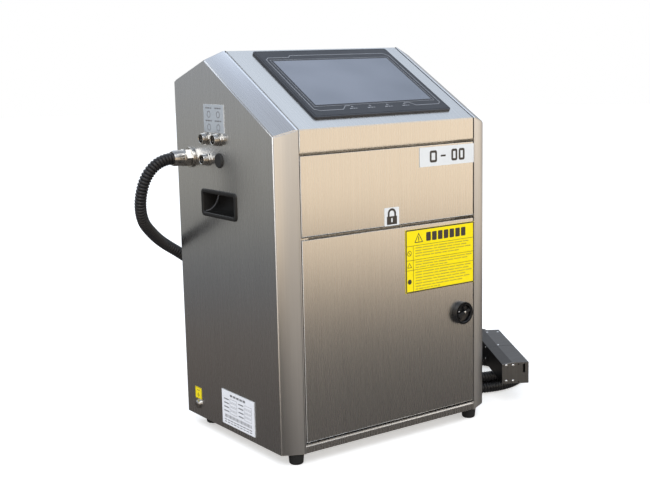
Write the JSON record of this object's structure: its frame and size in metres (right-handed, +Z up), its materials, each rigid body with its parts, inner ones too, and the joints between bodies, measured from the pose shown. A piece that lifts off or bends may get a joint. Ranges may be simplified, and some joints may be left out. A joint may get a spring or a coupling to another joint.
{
  "type": "date code inkjet printer",
  "caption": "Continuous inkjet date coder: steel cabinet with a sloped touch screen lid, cover, service door, coiled hose and a box-shaped print head.",
  "frame": {"origin": "on the supporting surface, under the middle of the cabinet", "axes": "+X to the right across the front, +Y to the back, +Z up"},
  "size_m": [0.658, 0.3323, 0.5455],
  "materials": {
    "cabinet_steel": "fine vertical brushed grain",
    "bright_steel": "machined",
    "nickel": "bright nickel plate",
    "bezel_plastic": "satin charcoal",
    "screen_glass": "anti-glare",
    "black_plastic": "satin",
    "black_rubber": "matt",
    "pale_label": "printed film",
    "yellow_label": "printed film",
    "bottle_plastic": "translucent",
    "cap_plastic": "moulded",
    "tray_plastic": "moulded",
    "pump_metal": "die cast",
    "circuit_board": "solder mask",
    "head_steel": "brushed",
    "hose_plastic": "corrugated polyamide"
  },
  "bodies": {
    "cabinet": {"left_side_panel": "cabinet_steel", "right_side_panel": "cabinet_steel", "roof_panel": "cabinet_steel", "rear_panel": "cabinet_steel", "base_pan": "cabinet_steel", "cross_rails": "cabinet_steel", "lower_rail": "cabinet_steel", "left_handle_cup": "black_plastic", "right_handle_cup": "black_plastic", "signal_socket_1": "nickel", "signal_socket_2": "nickel", "signal_socket_3": "nickel", "blanking_plug": "black_rubber", "earth_screw": "nickel", "legend_plate": "pale_label", "rating_plate": "pale_label", "gland_body": "nickel", "gland_sleeve": "nickel", "rubber_feet": "black_rubber", "foot_screws": "bright_steel", "fan_frame": "black_plastic", "finger_guard": "bright_steel", "power_inlet": "black_plastic", "mid_shelf": "cabinet_steel", "ink_bottle": "bottle_plastic", "solvent_bottle": "bottle_plastic", "bottle_caps": "cap_plastic", "bottle_tray": "tray_plastic", "pump": "pump_metal", "ink_filter": "bottle_plastic", "valve_manifold": "pump_metal", "control_board": "circuit_board", "power_supply": "pump_metal", "head_block": "head_steel", "head_deck": "pump_metal", "nozzle_unit": "bright_steel", "jet_guides": "bright_steel", "strain_relief": "black_rubber", "hose_lead": "hose_plastic", "hose_coil": "hose_plastic", "hose_tail": "hose_plastic"},
    "lid": {"display_lid": "cabinet_steel", "display_bezel": "bezel_plastic", "display_glass": "screen_glass", "display_controller": "black_plastic", "lid_pins": "bright_steel"},
    "cover": {"middle_cover": "cabinet_steel", "name_plate": "pale_label", "cover_pins": "bright_steel"},
    "door": {"lower_door": "cabinet_steel", "door_seal": "black_rubber", "notice_plate": "yellow_label", "latch_housing": "black_plastic", "door_pins": "bright_steel"},
    "latch": {"latch_knob": "black_plastic", "latch_cam": "bright_steel"},
    "fan": {"fan_rotor": "black_plastic"},
    "rocker": {"power_rocker": "black_plastic"},
    "jet_cover": {"head_cover": "head_steel", "head_end_plate": "head_steel"}
  },
  "joints": [
    {"name": "lid_hinge", "type": "hinge", "parent": "cabinet", "child": "lid", "pos_m": [0, 0.03774, 0.53972], "axis": [-1, 0, 0], "range_deg": [0, 75]},
    {"name": "cover_hinge", "type": "hinge", "parent": "cabinet", "child": "cover", "pos_m": [0, -0.1305, 0.4065], "axis": [-1, 0, 0], "range_deg": [0, 85]},
    {"name": "door_hinge", "type": "hinge", "parent": "cabinet", "child": "door", "pos_m": [-0.1431, -0.1305, 0.167], "axis": [0, 0, -1], "range_deg": [0, 110]},
    {"name": "latch_turn", "type": "hinge", "parent": "door", "child": "latch", "pos_m": [0.1248, -0.134, 0.1673], "axis": [0, -1, 0], "range_deg": [0, 90]},
    {"name": "fan_spin", "type": "hinge", "parent": "cabinet", "child": "fan", "pos_m": [0.07, 0.12, 0.405], "axis": [0, 1, 0], "continuous": true},
    {"name": "rocker_tilt", "type": "hinge", "parent": "cabinet", "child": "rocker", "pos_m": [-0.1, 0.1345, 0.08], "axis": [-1, 0, 0], "range_deg": [0, 12]},
    {"name": "jet_cover_slide", "type": "slide", "parent": "cabinet", "child": "jet_cover", "axis": [-0.5195, -0.8545, 0], "range_m": [0, 0.1]}
  ]
}
